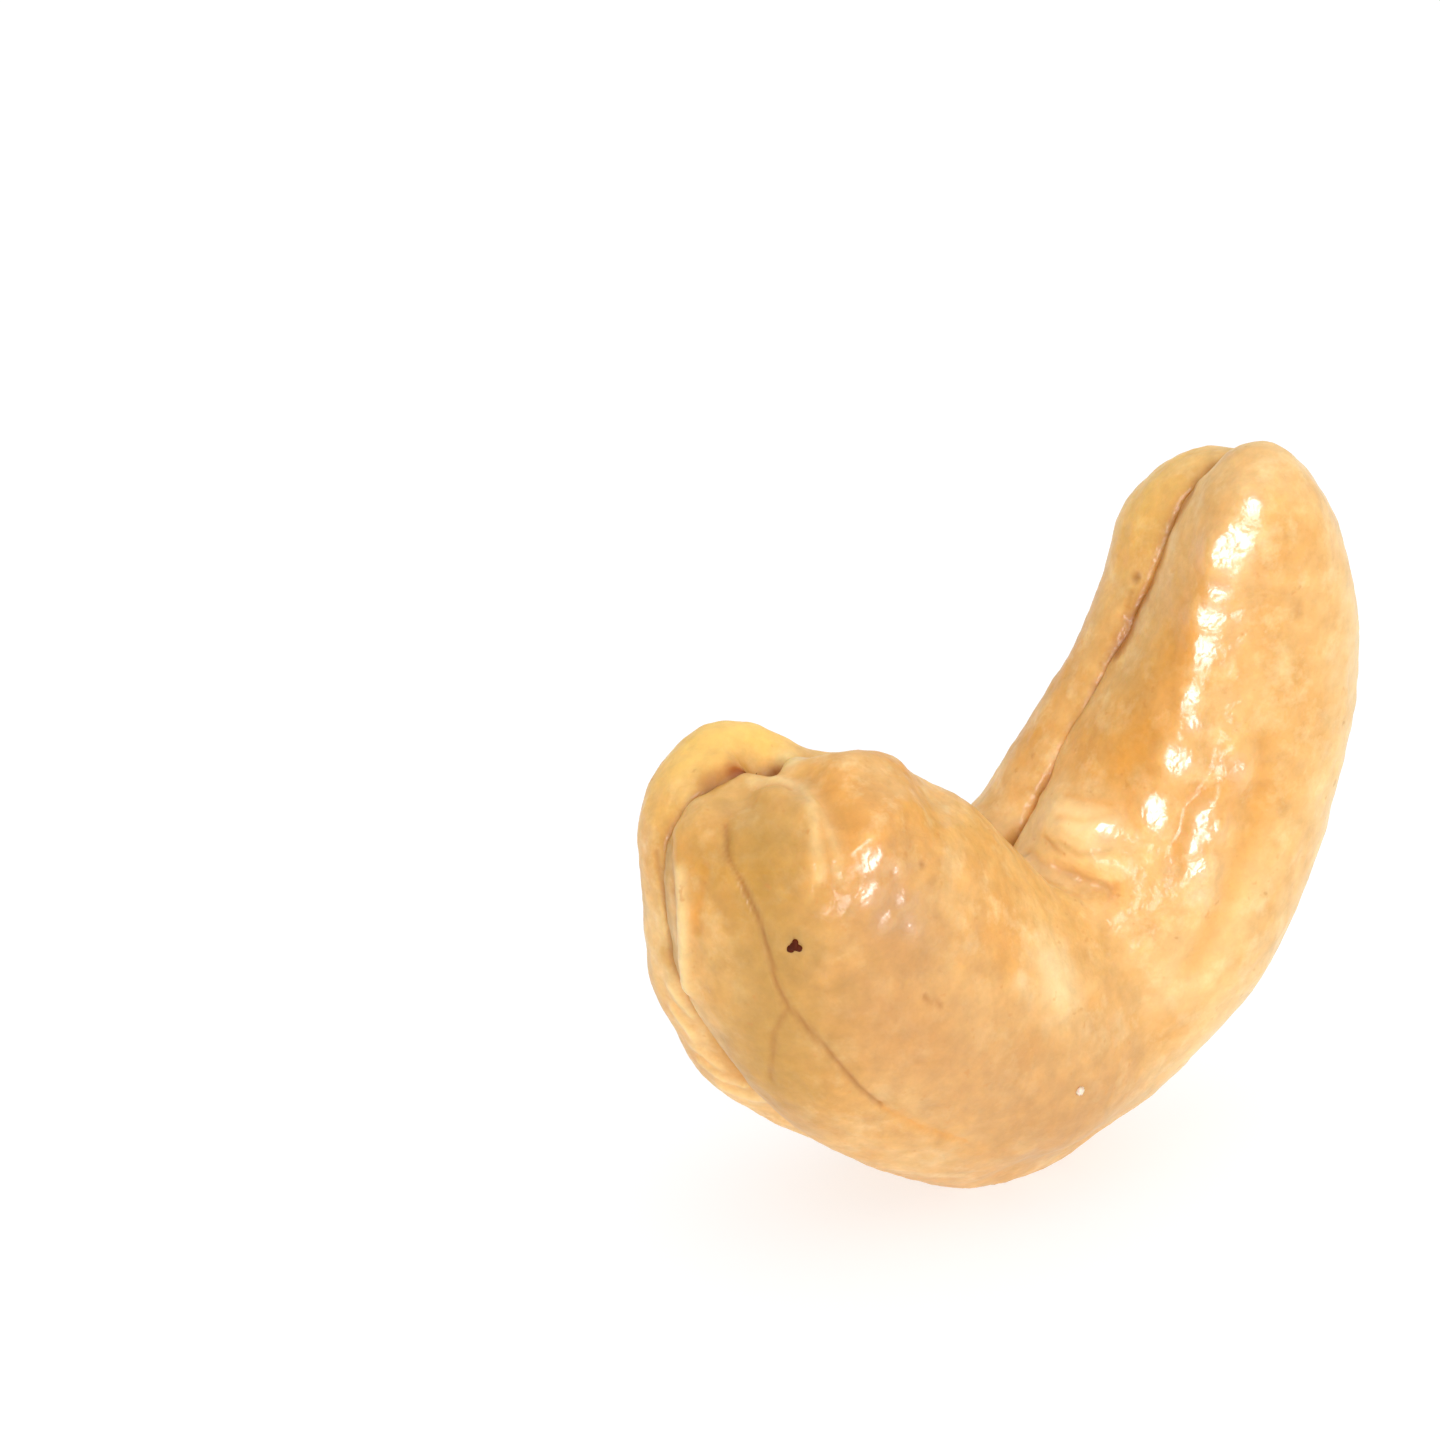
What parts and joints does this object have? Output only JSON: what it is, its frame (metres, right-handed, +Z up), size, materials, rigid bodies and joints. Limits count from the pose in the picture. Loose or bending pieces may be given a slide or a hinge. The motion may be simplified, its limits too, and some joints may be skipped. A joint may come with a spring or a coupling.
{
  "type": "roasted cashew kernel",
  "caption": "Whole roasted cashew kernel: a curved, two-lobed nut with a cleft round it, a germ pit at its thick end and a hollow between its arms.",
  "frame": {"origin": "middle of the small flat spot under the belly that the kernel rests on", "axes": "+Z up; +X from the thick arm with the germ towards the thin arm; Y across the split between the two halves, the near half at -Y"},
  "size_m": [0.0229, 0.0106, 0.0211],
  "materials": {
    "roasted_flesh": "oiled and satin, with glints along the ridges and a mottled pale gold colour"
  },
  "bodies": {
    "root": {"kernel": "roasted_flesh"}
  },
  "joints": []
}
